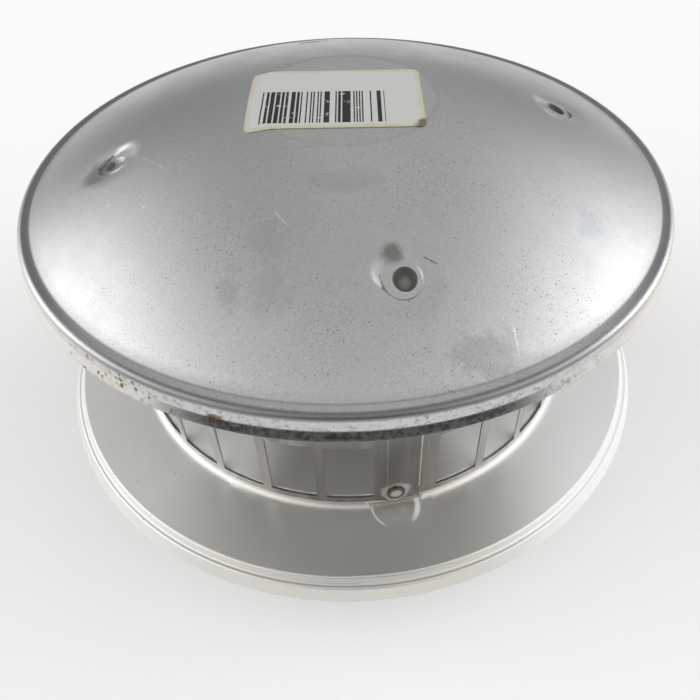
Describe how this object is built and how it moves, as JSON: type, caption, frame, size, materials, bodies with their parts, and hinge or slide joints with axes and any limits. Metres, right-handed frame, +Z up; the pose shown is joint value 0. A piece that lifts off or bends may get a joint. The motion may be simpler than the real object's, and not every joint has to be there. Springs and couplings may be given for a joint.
{
  "type": "vent cap",
  "caption": "Round sheet metal vent cap: a shallow rain dome on a windowed band, a stepped base disc and a collar that slips over a gas vent pipe.",
  "frame": {"origin": "on the cap's axis, in the plane of the pipe collar's lower edge", "axes": "+Z up along the cap's axis; -Y towards the viewer of the picture, the side of the lap seam; +X to the viewer's right"},
  "size_m": [0.1896, 0.1896, 0.122],
  "materials": {
    "dome_metal": "satin galvanised sheet, speckled and lightly smudged",
    "band_metal": "satin galvanised sheet",
    "disc_metal": "satin galvanised sheet",
    "collar_metal": "satin galvanised sheet",
    "label_paper": "matt paper sticker, yellowed at its edges"
  },
  "bodies": {
    "root": {"rain_dome": "dome_metal", "slotted_band": "band_metal", "base_disc": "disc_metal", "pipe_collar": "collar_metal", "label": "label_paper"}
  },
  "joints": []
}
